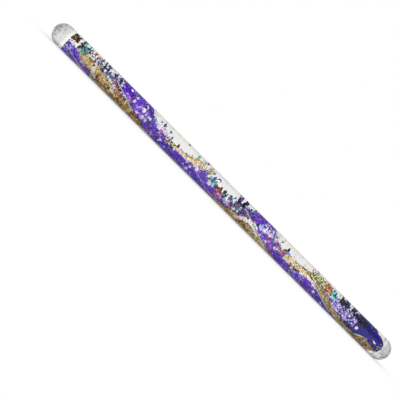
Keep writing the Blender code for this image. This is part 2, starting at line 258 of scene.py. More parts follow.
def settled_glitter(name, cell, clump, stops, tilt, roughness, tint, shade):
    """Fine flakes packed together, which sparkle.

    Each cell is one flake with its own tone and tilt; the palest tones are painted glints. Bands of painted flash and
    painted shade stand for clumps of flakes that lie the same way, and patches of them take a tint. All of these are
    coarser than the real grain, so that they show from across a table.
    """
    made = new_material(name)
    tree = made.node_tree
    place = add(tree, "TexCoord").outputs["Object"]
    flakes = add(tree, "TexVoronoi", {"Vector": place, "Scale": 1 / (cell * MM)}).outputs["Color"]
    clumps = add(tree, "TexVoronoi", {"Vector": place, "Scale": 1 / (clump * MM)}).outputs["Color"]
    fine = add(tree, "SeparateColor", {"Color": flakes}).outputs["Red"]
    coarse = add(tree, "SeparateColor", {"Color": clumps}).outputs["Red"]
    tone = add(tree, "Mix", {"Factor": 0.62, "A": fine, "B": coarse})
    # Painted flash and shade: a coarse noise moves the tone lighter or darker in bands
    bands = add(tree, "TexNoise", {"Vector": place, "Scale": 1 / (FLASH_BAND_SIZE * MM), "Detail": 2.0})
    flash_swing = {"From Min": 0.3, "From Max": 0.7, "To Min": -0.3, "To Max": 0.3}
    painted_flash = add(tree, "MapRange", {"Value": bands, **flash_swing})
    toned = add(tree, "ValToRGB", {"Fac": add(tree, "Math", {0: tone, 1: painted_flash}, operation="ADD")}, stops)
    patches = add(tree, "TexNoise", {"Vector": place, "Scale": 1 / (PATCH_SIZE * MM), "Detail": 2.0})
    strength = {"From Min": 0.5, "From Max": 0.68, "To Min": 0.0, "To Max": 0.8}
    patchy = add(tree, "MapRange", {"Value": patches, **strength})
    colour = add(tree, "MixRGB", {"Fac": patchy, "Color1": toned, "Color2": srgb(tint)}, blend_type="MULTIPLY")
    lean = add(tree, "VectorMath", {0: flakes, 1: (0.5, 0.5, 0.5)}, operation="SUBTRACT")
    lean = add(tree, "VectorMath", {0: lean, "Scale": tilt}, operation="SCALE")
    normal = add(tree, "NewGeometry").outputs["Normal"]
    lean = add(tree, "VectorMath", {0: lean, 1: normal}, operation="ADD")
    lean = add(tree, "VectorMath", {0: lean}, operation="NORMALIZE")
    colour = shaded(tree, place, colour, shade)
    finish = {"Base Color": colour, "Normal": lean, "Metallic": 0.9, "Roughness": roughness}
    return close_material(made, add(tree, "BsdfPrincipled", finish))


def foil(name, stops, roughness, shade=None):
    """Metallised film, which mirrors the room in its own colour. The tone that each flake carries picks it."""
    made = new_material(name)
    tree = made.node_tree
    tone = add(tree, "Attribute", attribute_name="tone")
    colour = add(tree, "ValToRGB", {"Fac": tone.outputs["Fac"]}, stops)
    if shade:
        colour = shaded(tree, add(tree, "TexCoord").outputs["Object"], colour, shade)
    finish = {"Base Color": colour, "Metallic": 1.0, "Roughness": roughness}
    return close_material(made, add(tree, "BsdfPrincipled", finish))


# Tones of each glitter from dark to light. The palest stops, up to white, are painted glints, for flakes that catch
# the light
GOLD_STOPS = (
    (0.10, "#6a4a16"), (0.32, "#cca03e"), (0.48, "#f4cc68"), (0.64, "#fde4a0"), (0.80, "#fff4d4"), (0.95, "#ffffff"),
)
PURPLE_STOPS = (
    (0.06, "#3410c8"), (0.26, "#5814ff"), (0.48, "#7424ff"), (0.70, "#9848ff"), (0.84, "#c8a8ff"), (0.95, "#ffffff"),
)
# Darkening along the tube, from the top plug to the bottom one: both glitters go darker toward the bottom plug, the
# purple most
PURPLE_SHADE = ((0.0, "#f0f0f0"), (0.78, "#ffffff"), (0.86, "#c8c0e4"), (0.91, "#4c3aa8"), (1.0, "#402f9a"))
GOLD_SHADE = ((0.0, "#ffffff"), (0.86, "#ffffff"), (0.93, "#d6ccc8"), (1.0, "#d0c6c2"))
# Tones of the loose foils, from dark to light
FOIL_TONES = {
    "gold": "#c09c56 #f0d898 #fffaea",
    "violet": "#9c70ff #c8acff #f8f4ff",
    "silver": "#ccd4dc #ffffff",
    "white": "#f0ecf4 #ffffff",
    "teal": "#0c4c54 #1c8c90 #7cd8dc",
    "green": "#143a1c #3c8444 #90d890",
    "blue": "#1a2c78 #3c62cc #94b8fa",
    "red": "#4a1414 #93302a #d86a58",
    "orange": "#4a2612 #a8602a #f0b468",
    "magenta": "#4c1454 #a04098 #eca0e0",
    "black": "#0c0c10 #3a3640",
}

# Acrylic: glossy and clear, and a lens for what it holds
ACRYLIC_IOR = 1.49
acrylic = clear_plastic("cast_acrylic_polished", "#f8f8f4", ACRYLIC_IOR, 0.0)
# Solid plugs get painted shade: greyer, in mottled patches, toward the tip of the dome
dome_painted_shade = clear_plastic("cast_acrylic_dome_painted_shade", "#e2e1e2", ACRYLIC_IOR, 0.0, "#5e5a5e")
# Where acrylic meets oil, or cement, hardly anything shows. The same holds for the ring of clear silicone
bonded = clear_plastic("acrylic_face_in_oil", "#ffffff", 1.014, 0.0)
silicone = clear_plastic("silicone_ring_clear", "#f2f4f4", 1.02, 0.1)
# Oil bends light as the acrylic does, so that it shows as no more than a faint warm haze, and the strip in it as a
# pale one. The strip's edge gets a painted highlight: an opaque white border, which shows as a white line
oil = plain("mineral_oil_clear", "#fff6d8", 0.3, 1.05, 0.006)
strip = plain("pet_strip_clear", "#ffffff", 0.3, 1.05, 0.02)
edge_highlight_paint = plain("pet_strip_edge_painted_highlight", "#fffffc", 0.5, 1.5, 1.0)
# Glitter is cut from metallised film: it sparkles where it is packed and flashes where it is loose
gold_bank = settled_glitter("gold_glitter_settled", 0.5, 1.1, GOLD_STOPS, 0.8, 0.32, "#e0c490", GOLD_SHADE)
purple_bank = settled_glitter("purple_glitter_settled", 0.5, 1.3, PURPLE_STOPS, 0.65, 0.36, "#f080d0", PURPLE_SHADE)
gold_flakes = foil("gold_glitter_cut_film", GOLD_STOPS, 0.25, GOLD_SHADE)
purple_flakes = foil("purple_glitter_cut_film", PURPLE_STOPS, 0.28, PURPLE_SHADE)
foils = {}
for colour, tones in FOIL_TONES.items():
    codes = tones.split()
    foils[colour] = foil(f"{colour}_confetti_foil", tuple(zip(np.linspace(0, 1, len(codes)), codes)), 0.22)


def piece(name, points, faces, materials, body, slots=None, sharp=40):
    """A piece of the wand from points in millimetres, riding on a body."""
    mesh = bpy.data.meshes.new(name)
    mesh.from_pydata([tuple(point) for point in np.asarray(points) * MM], [], faces)
    for finish in materials:
        mesh.materials.append(finish)
    if slots is not None:
        mesh.polygons.foreach_set("material_index", slots)
    mesh.polygons.foreach_set("use_smooth", [True] * len(faces))
    mesh.set_sharp_from_angle(angle=math.radians(sharp))
    mesh.validate()
    made = bpy.data.objects.new(name, mesh)
    bpy.context.scene.collection.objects.link(made)
    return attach(made, body)


def regular(sides):
    """Corners of a regular polygon."""
    return [(math.cos(TURN * k / sides), math.sin(TURN * k / sides)) for k in range(sides)]


SEGMENTS = 96
CIRCLE = regular(SEGMENTS)


def turned(name, profile, closed, materials, body):
    """A piece turned about X. The profile holds x, radius and the finish of the band that starts there."""
    points, rings, faces, slots = [], [], [], []
    for x, radius, _ in profile:
        corners = CIRCLE if radius > 0 else CIRCLE[:1]
        rings.append(range(len(points), len(points) + len(corners)))
        points += [(x, radius * y, radius * z) for y, z in corners]
    for first in range(len(profile) if closed else len(profile) - 1):
        a, b = rings[first], rings[(first + 1) % len(profile)]
        for k in range(SEGMENTS):
            n = (k + 1) % SEGMENTS
            corners = [a[k % len(a)], b[k % len(b)], b[n % len(b)], a[n % len(a)]]
            faces.append(list(dict.fromkeys(corners)))
            slots.append(profile[first][2])
    return piece(name, points, faces, materials, body, slots)


def arc(centre, along, radius, start, end, steps, finish):
    """Stations of a profile on part of an ellipse."""
    angles = [start + (end - start) * k / steps for k in range(steps + 1)]
    return [(centre + along * math.cos(angle), radius * math.sin(angle), finish) for angle in angles]


OUTSIDE, INSIDE = 0, 1


def build_casing():
    """The tube, its two plugs and their rings."""
    end = SHOULDER_X - HAIR
    profile = [
        (end, BORE_RADIUS, INSIDE),
        (end, TUBE_RADIUS - EDGE_BREAK, OUTSIDE),
        (end - EDGE_BREAK, TUBE_RADIUS, OUTSIDE),
        (EDGE_BREAK - end, TUBE_RADIUS, OUTSIDE),
        (-end, TUBE_RADIUS - EDGE_BREAK, INSIDE),
        (-end, BORE_RADIUS, INSIDE),
    ]
    tube = turned("clear_tube", profile, True, [acrylic, bonded], "wand")
    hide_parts("tube")

    dome = arc(DOME_RIM_X, END_X - DOME_RIM_X, TUBE_RADIUS, 0.0, RIGHT_ANGLE, 24, OUTSIDE)
    groove = [
        (SHOULDER_X - GROOVE_NEAR, SPIGOT_RADIUS, INSIDE),
        (SHOULDER_X - GROOVE_NEAR, GROOVE_RADIUS, INSIDE),
        (SHOULDER_X - GROOVE_FAR, GROOVE_RADIUS, INSIDE),
        (SHOULDER_X - GROOVE_FAR, SPIGOT_RADIUS, INSIDE),
    ]
    shoulder = [(SHOULDER_X, TUBE_RADIUS - EDGE_BREAK, INSIDE), (SHOULDER_X, SPIGOT_RADIUS, INSIDE)]
    dish = arc(DISH_X, DISH_RADIUS, DISH_RADIUS, RIGHT_ANGLE, 0.0, 16, INSIDE)
    mouth = [(RIM_X, SPIGOT_RADIUS, INSIDE), (RIM_X, DISH_MOUTH, INSIDE)]
    bottom = turned("bottom_dome_plug", dome + shoulder + groove + mouth + dish, False, [dome_painted_shade, bonded], "wand")
    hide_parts("bottom_plug")

    face = [
        (-TOP_FACE_X + CHAMFER, SPIGOT_RADIUS, INSIDE),
        (-TOP_FACE_X, SPIGOT_RADIUS - CHAMFER, INSIDE),
        (-TOP_FACE_X, 0.0, INSIDE),
    ]
    # The other way about, so that its faces point outward, and each band keeps its finish
    stations = (dome + shoulder + groove + face)[::-1]
    finishes = [finish for _, _, finish in stations[1:]] + [OUTSIDE]
    profile = [(-x, radius, finish) for (x, radius, _), finish in zip(stations, finishes)]
    top = turned("top_dome_plug", profile, False, [dome_painted_shade, bonded], "wand")
    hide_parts("top_plug")

    radius = (SEAL_OUTER - SEAL_INNER) / 2
    for name, node, side in (("top_ring", "top_seal", -1), ("bottom_ring", "bottom_seal", 1)):
        ring = [
            (side * SEAL_MIDDLE_X - SEAL_HALF_WIDTH * y, SEAL_INNER + radius + radius * z, OUTSIDE)
            for y, z in regular(16)[::-1]
        ]
        made = turned(name, ring, True, [silicone], "wand")
        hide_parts(node)


def dish_limit(x, gap):
    """Radius of the space inside the bottom plug's dish, less a gap."""
    if x < RIM_X - gap:
        return BORE_RADIUS - gap
    if x < DISH_X:
        share = (x - RIM_X) / (DISH_X - RIM_X)
        return DISH_MOUTH + (DISH_RADIUS - DISH_MOUTH) * max(share, 0.0) - gap
    return math.sqrt(max((DISH_RADIUS - gap) ** 2 - (x - DISH_X) ** 2, 0.0))


def room_at(x, gap):
    """Radius of the space at x, and at the place that it is pressed to if it stays at the bottom plug."""
    if x > CHARGE_END_X:
        plug_x, keep = BOTTOM_REST
        x = plug_x - keep * (plug_x - x)
    return dish_limit(x, gap)


def build_oil():
    """The filling of both channels, as one haze."""
    reach, wall = DISH_RADIUS - OIL_GAP, BORE_RADIUS - OIL_GAP
    profile = arc(DISH_X, reach, reach, 0.0, RIGHT_ANGLE, 12, OUTSIDE) + [
        (RIM_X - OIL_GAP, DISH_MOUTH - OIL_GAP, OUTSIDE),
        (RIM_X - OIL_GAP, wall, OUTSIDE),
        (TOP_FACE_X + CHAMFER + OIL_GAP, wall, OUTSIDE),
        (TOP_FACE_X + OIL_GAP, wall - CHAMFER, OUTSIDE),
        (TOP_FACE_X + OIL_GAP, 0.0, OUTSIDE),
    ]
    made = turned("oil_filling", profile, False, [oil], "wand")
    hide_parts("purple_oil", "gold_oil")


def edge_angle(x):
    """Angle of the divider's first edge at x."""
    return EDGE_START + TURN * (x - FILL_START_X) / PITCH


def build_divider():
    """The twisted strip, with a painted highlight along each edge: a white border where it catches the light."""
    stations, across = 420, 12
    points, faces, slots = [], [], []
    for i in range(stations + 1):
        x = FILL_START_X + (DIVIDER_END_X - FILL_START_X) * i / stations
        angle = edge_angle(x)
        along = np.array((0.0, math.cos(angle), math.sin(angle)))
        off = np.array((0.0, -math.sin(angle), math.cos(angle)))
        half = min(DIVIDER_HALF_WIDTH, dish_limit(x, STRIP_GAP))
        for side in (1, -1):
            for j in range(across + 1):
                width = half * (2 * j / across - 1)
                if j in (1, across - 1):
                    width = math.copysign(half - SLIT_BORDER, width)
                width *= side
                points.append(np.array((x, 0, 0)) + along * width + off * DIVIDER_HALF_THICKNESS * side)
    ring = 2 * (across + 1)
    for i in range(stations):
        for j in range(ring):
            n = (j + 1) % ring
            faces.append((i * ring + j, (i + 1) * ring + j, (i + 1) * ring + n, i * ring + n))
            edge = 0 if j in (across - 1, across, across + 1) else 1
            border = edge == 0 or j in (0, ring - 2, ring - 1)
            x = points[i * ring][0]
            # Painted highlight: the border takes the white finish only where that edge catches the light
            slots.append(1 if border and any(start < x < end for start, end in EDGE_LIGHT[edge]) else 0)
    for end in (0, stations):
        for j in range(across):
            corners = [end * ring + k for k in (j, ring - 1 - j, ring - 2 - j, j + 1)]
            faces.append(corners[::-1] if end == 0 else corners)
            slots.append(0)
    made = piece("twisted_strip", points, faces, [strip, edge_highlight_paint], "wand", slots)
    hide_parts("divider")


def share_at(table, x):
    """What a table of places and values says at x."""
    places, shares = zip(*table)
    return float(np.interp(x, places, shares))


# Places across the bore, a quarter of a millimetre apart
STEPS = np.linspace(-BORE_RADIUS, BORE_RADIUS, 53)
GRID = np.stack(np.meshgrid(STEPS, STEPS), -1).reshape(-1, 2)
HALF_STEP = 0.13
# A heap has so many corners at each station, and its stations are this far apart
RAYS = 64
STATION_STEP = 0.5
GRAIN_DEPTH = 0.4
LEAST_ROOM = 0.06
LEAST_REACH = 0.05


def channel_section(channel, x, lean=None):
    """The channel at x: its side, the upward direction of what settles in it, its places and its radius."""
    angle = edge_angle(x)
    quarter = CHANNEL_QUARTER[channel]
    side = np.array((math.cos(angle + quarter), math.sin(angle + quarter)))
    lean = REPOSE * math.sin(2 * angle) if lean is None else lean
    up = np.array((-math.sin(lean), math.cos(lean)))
    limit = min(CONTENT_RADIUS, room_at(x, HEAP_GAP))
    inside = GRID[(np.hypot(*GRID.T) < limit) & (GRID @ side > CHANNEL_FLOOR)]
    return side, up, inside, limit


def level_at(inside, up, share):
    """Height of a share of a channel's depth."""
    heights = inside @ up
    return heights.min() + share * (heights.max() - heights.min())


def grain(point):
    """How far a heap's surface dips at a place, in bumps of about 1 mm with finer ones on them."""
    fine = noise.noise(Vector(point) * 2.7) * 0.4
    return abs(noise.noise(Vector(point) * 0.9) + fine) * GRAIN_DEPTH


def build_pile(name, channel, fill, start, end, body, finish, under=None, lean=None):
    """Glitter settled in a channel as a grained heap: what lies below the fill, and over another heap's fill."""
    stations = round((end - start) / STATION_STEP)
    spokes = np.array(regular(RAYS))
    points = []
    for x in np.linspace(start, end, stations + 1):
        side, up, inside, limit = channel_section(channel, x, lean)
        level = level_at(inside, up, max(share_at(fill, x), LEAST_FILL))
        floor = level_at(inside, up, share_at(under, x) + 0.01) if under and x < under[-1][0] else -TUBE_RADIUS
        heights = inside @ up
        middle = inside[(heights <= level + HALF_STEP) & (heights >= floor - HALF_STEP)].mean(0)
        toward = spokes @ middle
        reach = -toward + np.sqrt(toward**2 + limit**2 - middle @ middle)
        height = middle @ up
        bounds = ((-side, middle @ side - CHANNEL_FLOOR), (up, level - height), (-up, height - floor))
        for direction, room in bounds:
            facing = spokes @ direction
            met = facing > 1e-6
            reach[met] = np.minimum(reach[met], max(room, LEAST_ROOM) / facing[met])
        for spoke, length in zip(spokes, reach):
            y, z = middle + spoke * length
            y, z = middle + spoke * max(length - grain((x, y, z)), LEAST_REACH)
            points.append((x, y, z))
    faces = []
    for i in range(stations):
        for j in range(RAYS):
            n = (j + 1) % RAYS
            faces.append((i * RAYS + j, i * RAYS + n, (i + 1) * RAYS + n, (i + 1) * RAYS + j))
    faces.append(list(range(RAYS))[::-1])
    faces.append([stations * RAYS + k for k in range(RAYS)])
    return piece(name, points, faces, [finish], body, None, 180)


def plates(name, outline, centres, normals, sizes, spins, tones, thickness, finish, body):
    """Many small flakes as one piece. Each is a closed plate with its own place, tilt, size and tone."""
    outline = np.array(outline)
    count, sides = len(centres), len(outline)
    normals = normals / np.linalg.norm(normals, axis=1, keepdims=True)
    helper = np.where(np.abs(normals[:, :1]) < 0.9, (1.0, 0.0, 0.0), (0.0, 1.0, 0.0))
    first = np.cross(normals, helper)
    first /= np.linalg.norm(first, axis=1, keepdims=True)
    second = np.cross(normals, first)
    cos, sin = np.cos(spins)[:, None], np.sin(spins)[:, None]
    along, across = first * cos + second * sin, second * cos - first * sin
    flat = (
        centres[:, None, :]
        + along[:, None, :] * outline[None, :, :1] * sizes[:, None, None]
        + across[:, None, :] * outline[None, :, 1:] * sizes[:, None, None]
    )
    half = normals[:, None, :] * thickness / 2
    points = np.concatenate((flat + half, flat - half), 1).reshape(-1, 3)
    faces = []
    for k in range(count):
        top = [k * 2 * sides + j for j in range(sides)]
        low = [corner + sides for corner in top]
        faces.append(top)
        faces.append(low[::-1])
        for j in range(sides):
            n = (j + 1) % sides
            faces.append((top[j], low[j], low[n], top[n]))
    made = piece(name, points, faces, [finish], body, None, 30)
    tone = made.data.attributes.new("tone", "FLOAT", "POINT")
    tone.data.foreach_set("value", np.repeat(tones, 2 * sides))
    return made


HEXAGON, TRIANGLE = regular(6), regular(3)
# Each glitter's slot, its finish in a heap and as a flake, and its flakes' outline and size
PURPLE = ("purple_glitter", purple_bank, purple_flakes, TRIANGLE, 0.34)
GOLD = ("gold_glitter", gold_bank, gold_flakes, HEXAGON, 0.32)
GLITTERS = {"purple": PURPLE, "gold": GOLD}
# Flakes differ in size by these shares, and those that have left the heaps are larger
SIZE_SPREAD = (0.7, 1.25)
ADRIFT_SIZE = 0.36


def flake_centre(node):
    """Middle of a CAD flake."""
    corners = np.array([corner.co for corner in frame["nodes"][node].data.vertices]) / MM
    return (corners.min(0) + corners.max(0)) / 2


# Two flakes drift straight along while the rest spiral, so the others keep clear of them
STRAIGHT_DRIFTERS = [flake_centre(node) for node in ("black_hexagon_3", "black_hexagon_5")]
DRIFT_ROOM = 5.0


def in_channel(centres, channel, sizes):
    """Which flakes lie clear of the divider, the walls and the straight drifters.

    A tilted flake reaches 0.85 of its size toward a wall, and 0.3 of it toward the divider.
    """
    angles = edge_angle(centres[:, 0]) + CHANNEL_QUARTER[channel]
    beside = centres[:, 1] * np.cos(angles) + centres[:, 2] * np.sin(angles)
    limits = np.array([room_at(x, FLAKE_GAP) for x in centres[:, 0] + sizes])
    clear = np.ones(len(centres), bool)
    for drifter in STRAIGHT_DRIFTERS:
        clear &= np.linalg.norm(centres - drifter, axis=1) > DRIFT_ROOM
    inside = np.hypot(centres[:, 1], centres[:, 2]) + sizes * 0.85 < limits
    return clear & inside & (beside > CHANNEL_FLOOR + sizes * 0.3)


def loose(name, glitter, centres, normals, sizes, body, rng, outline=None, thickness=GLITTER_THICKNESS):
    """Flakes of a glitter, each turned about and toned by chance."""
    slot, _, finish, usual, _ = glitter
    spins, tones = rng.uniform(0, TURN, len(centres)), rng.uniform(0, 1, len(centres))
    made = plates(name, outline or usual, centres, normals, sizes, spins, tones, thickness, finish, body)
    return made


def surface_flakes(name, pile, channel, glitter, body, count, seed):
    """Flakes that lie on a heap and just over it."""
    rng = np.random.default_rng(seed)
    scatter, lift, tilt = 0.3, 0.12, 0.45
    faces = pile.data.polygons

    def values(kind, width):
        found = np.zeros(len(faces) * width)
        faces.foreach_get(kind, found)
        return found.reshape(-1, width)

    areas, middles = values("area", 1)[:, 0], values("center", 3) / MM
    chosen = rng.choice(len(areas), count * 2, p=areas / areas.sum())
    normals = values("normal", 3)[chosen]
    centres = middles[chosen] + (
        rng.normal(0, scatter, normals.shape) + normals * rng.exponential(lift, (len(chosen), 1))
    )
    sizes = glitter[-1] * rng.uniform(*SIZE_SPREAD, len(chosen))
    x, ends = centres[:, 0], middles[:, 0]
    short = (x - sizes > ends.min()) & (x + sizes < ends.max())
    kept = np.flatnonzero(in_channel(centres, channel, sizes) & short)[:count]
    tilted = normals[kept] + rng.normal(0, tilt, (len(kept), 3))
    return loose(name, glitter, centres[kept], tilted, sizes[kept], body, rng)


def build_adrift(channel, zones, seed):
    """Flakes adrift over the heaps. A zone gives where along the tube, how many, and how high they hang."""
    rng = np.random.default_rng(seed)
    centres = []
    for start, end, count, height in zones:
        for x in rng.uniform(start, end, count):
            _, up, inside, _ = channel_section(channel, x)
            level = level_at(inside, up, max(share_at(FILL[channel], x), LEAST_FILL))
            over = inside @ up - level
            open_places = inside[over > 0]
            if len(open_places) == 0:
                continue
            chance = np.exp(-over[over > 0] / height)
            y, z = open_places[rng.choice(len(open_places), p=chance / chance.sum())]
            centres.append((x, y + rng.uniform(-0.12, 0.12), z + rng.uniform(-0.12, 0.12)))
    centres = np.array(centres)
    sizes = ADRIFT_SIZE * rng.uniform(*SIZE_SPREAD, len(centres))
    kept = in_channel(centres, channel, sizes)
    normals = rng.normal(0, 1, (len(centres), 3))
    name, glitter, body = f"{channel}_adrift", GLITTERS[channel], f"{channel}_charge"
    loose(name, glitter, centres[kept], normals[kept], sizes[kept], body, rng)


def build_clinging():
    """Gold that clings to the upper face of the divider along its back edge."""
    start, end, count = -60, -16, 700
    rng = np.random.default_rng(23)
    x = rng.uniform(start, end, count)
    angles = edge_angle(x)
    # Most of it lies 3.4 mm out from the axis, and just over the strip
    width = rng.normal(3.4, 0.9, count)
    over = 0.62 + rng.exponential(0.15, count)
    y = np.cos(angles) * width - np.sin(angles) * over
    z = np.sin(angles) * width + np.cos(angles) * over
    centres = np.stack((x, y, z), 1)
    sizes = ADRIFT_SIZE * rng.uniform(*SIZE_SPREAD, count)
    kept = in_channel(centres, "gold", sizes)
    normals = np.stack((0 * x, -np.sin(angles), np.cos(angles)), 1) + rng.normal(0, 0.5, (count, 3))
    loose("gold_clinging", GOLD, centres[kept], normals[kept], sizes[kept], "gold_charge", rng)


def star_outline():
    """A five-pointed star of radius 1."""
    return [(share * y, share * z) for share, (y, z) in zip((1.0, 0.42) * 5, regular(10))]


def moon_outline():
    """A crescent: a disc of radius 1, less a smaller one to the side of it."""
    aside, hollow, steps = 0.5, 0.875, 14
    horn = (1.0 - hollow**2 + aside**2) / (2 * aside)
    back, bite = math.acos(horn), math.acos((horn - aside) / hollow)
    outer = [back + (TURN - 2 * back) * k / steps for k in range(steps + 1)]
    inner = [-bite - (TURN - 2 * bite) * k / steps for k in range(1, steps)]
    return [(math.cos(a), math.sin(a)) for a in outer] + [
        (aside + hollow * math.cos(a), hollow * math.sin(a)) for a in inner
    ]


# Each outline of the confetti, and its radius
OUTLINES = {"star": (star_outline(), 1.6), "moon": (moon_outline(), 1.6), "hexagon": (HEXAGON, 1.2)}


def build_confetti():
    """Each loose flake where the CAD has it."""
    for node, solid in frame["nodes"].items():
        colour, shape = (node.split("_") + [""])[:2]
        if shape not in OUTLINES:
            continue
        outline, size = OUTLINES[shape]
        centre = flake_centre(node)
        outward = np.array((0.0, centre[1], centre[2]))
        flat_reach = math.sqrt(LOOSE_RADIUS**2 - size**2) - FLAKE_GAP
        centre[1:] *= max(flat_reach / np.hypot(*centre[1:]), 1.0)
        sizes, spins, tones = np.array([[size], [centre[0]], [0.6]])
        made = plates(
            f"{node}_foil", outline, centre[None], outward[None], sizes, spins, tones, FOIL_THICKNESS,
            foils[colour], solid["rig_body"],
        )
        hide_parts(node)


def seen_angle(height):
    """Angle on the bore, up from its front, of what shows at a height because the filled tube is a lens."""
    outside = math.asin(height / TUBE_RADIUS)
    wall = math.asin(height / TUBE_RADIUS / ACRYLIC_IOR)
    return outside - wall + math.asin(height / BORE_RADIUS / ACRYLIC_IOR)


def back_angle(height):
    """Angle on the bore, up from its back, of what shows there at a height."""
    outside = math.asin(height / TUBE_RADIUS)
    bend = outside - math.asin(height / TUBE_RADIUS / ACRYLIC_IOR)
    return math.asin((height - math.tan(bend) * (BORE_RADIUS + TUBE_RADIUS * math.cos(outside))) / BORE_RADIUS)


def channel_of(x, angle):
    """The channel that a place on the bore lies in."""
    return "gold" if math.sin(angle - edge_angle(x)) > 0 else "purple"


# Confetti that shows at the front, by outline and colour: place along the tube, height at which it shows
FRONT_CONFETTI = {
    ("star", "silver"): ((-118.5, -4.9), (-102.7, -3.8), (-87.7, 2.5)),
    ("moon", "silver"): ((-79.0, 2.5), (100.0, -4.9)),
    ("hexagon", "red"): ((-100.3, -1.6), (-5.8, -0.6), (-2.6, -1.6)),
    ("hexagon", "magenta"): ((-97.0, 0.2), (-91.0, 4.2), (5.5, -3.2), (41.5, -1.0), (39.0, 0.6), (50.5, 1.6)),
    ("hexagon", "blue"): ((-72.0, -0.5), (-52.3, -5.6), (1.5, -2.2), (121.0, -2.4)),
    ("star", "teal"): ((-55.7, 4.9), (-14.5, 1.6), (45.1, 0.9)),
    ("hexagon", "black"): ((-60.5, -2.8),),
    ("hexagon", "silver"): ((-36.0, -4.8), (-31.5, -5.2), (89.7, -4.4), (112.0, -6.0), (128.5, -1.0)),
    ("star", "green"): ((-30.3, 5.0), (8.5, 1.8)),
    ("hexagon", "teal"): ((-11.0, 0.2), (12.0, -0.6), (100.7, 5.0)),
    ("moon", "black"): ((109.6, 4.6),),
}
# Pale flakes along the crest of the gold at the bottom plug: place along the tube, height
CREST = ((131, -5.2), (133, -3.8), (136.4, -2.4), (139.2, -1.8))
CREST_FLAKES, CREST_RADIUS, CREST_SIZE = 22, 6.1, 0.5
# Dots lie between the deepest radius and the bore. Those of some colours are finer and lie on the heaps
DOT_SIZES = (0.55, 1.15)
DEEPEST = 5.6
FINE, FINE_DEEPEST = 0.6, 6.12
# Only those deeper than this have the room to tilt
FLAT_RADIUS = 5.9
FINE_SLOTS = {"gold": "gold_glitter", "violet": "purple_glitter", "white": "silver_foil"}
# Small dots: from and to along the tube, from and to in height, how many at the front, how many behind, colours
DOT_ZONES = (
    (-140.5, -137, 1.5, 7.2, 16, 6, "black black orange"),
    (-137, -133, 0.5, 7.2, 16, 10, "teal teal silver teal"),
    (-132, -126, 1.5, 7.4, 22, 8, "orange silver orange silver"),
    (-126, -118, 0.5, 7.2, 26, 10, "magenta silver black blue silver"),
    (-118, -114, 0.5, 7.2, 14, 8, "black blue silver"),
    (-114, -109, 0.5, 6.0, 10, 6, "silver blue"),
    (-109, -100, 0.0, 7.2, 24, 10, "blue magenta black silver"),
    (-112, -60, -3.0, 6.5, 60, 10, "silver magenta blue magenta black silver"),
    (-60, -20, -5.5, -1.0, 16, 0, "silver blue magenta"),
    (-56, -44, -2.4, 0.4, 66, 0, "gold gold black"),
    (-44, -34, -1.2, 1.4, 66, 0, "gold"),
    (-34, -28, 0.2, 3.0, 44, 0, "gold"),
    (-30, -22, 1.5, 5.0, 56, 0, "gold"),
    (-24, -16, 4.5, 7.4, 60, 0, "gold"),
    (-44, -24, -1.5, 1.5, 44, 0, "violet silver violet"),
    (-17, -9, -2.0, 2.5, 26, 6, "silver teal silver teal blue"),
    (-9, -1, -3.0, 1.0, 22, 4, "red black red magenta"),
    (-2, 14, -4.0, 3.0, 40, 14, "silver blue green magenta silver black"),
    (9, 33, 1.0, 6.2, 30, 40, "black blue black magenta black"),
    (31, 43, 1.0, 6.8, 150, 0, "violet white violet silver violet blue"),
    (38, 62, -3.0, 2.8, 56, 10, "magenta silver magenta blue magenta violet"),
    (58, 64, -2.6, 0.8, 52, 0, "gold"),
    (64, 71, -1.4, 1.4, 54, 0, "gold"),
    (71, 79, -0.6, 2.1, 54, 0, "gold"),
    (79, 86, 0.8, 2.3, 34, 0, "gold"),
    (62, 82, -6.0, -2.5, 12, 0, "silver magenta blue"),
    (83, 93, 3.2, 6.8, 66, 0, "gold gold green"),
    (92, 99, 2.5, 7.2, 40, 0, "orange gold orange red"),
    (99, 106, 1.0, 6.4, 18, 6, "teal silver teal"),
    (106, 122, 1.5, 6.8, 20, 14, "black teal black silver"),
    (108, 128, -3.0, 3.0, 22, 0, "blue black silver blue"),
    (104, 126, -2.5, 3.5, 110, 0, "violet"),
    (122, 132, 4.5, 7.4, 10, 6, "black"),
    (-136, -60, -6.0, 0.0, 40, 0, "orange green red silver"),
    # Painted highlights: the white rows are fine pale dots laid along the white lines where the strip's edges catch
    # the light
    (14, 17, -5.6, -4.2, 16, 0, "white"),
    (17, 20, -4.4, -2.6, 20, 0, "white"),
    (20, 24, -2.8, -0.8, 26, 0, "white"),
    (24, 29, -1.8, -0.2, 26, 0, "white"),
    (29, 32, -2.8, -1.2, 20, 0, "white"),
    (32, 36, -4.4, -2.6, 20, 0, "white"),
    (72, 76, -1.8, -0.4, 14, 0, "white"),
    (76, 84, -0.4, 0.9, 26, 0, "white"),
    (84, 89, -1.6, -0.3, 14, 0, "white"),
)
# Small dots on the heaps at the back
BACK_DOTS = 110
BACK_REACH = 135
BACK_ANGLES = (math.radians(-55), math.radians(5))
BACK_COLOURS = "silver magenta blue teal silver black green orange".split()


def on_bore(x, angle, radius):
    """Places at a radius, and the directions outward there."""
    outward = np.stack((0 * x, np.cos(angle), np.sin(angle)), 1)
    centres = outward * np.reshape(radius, (-1, 1))
    centres[:, 0] = x
    return centres, outward


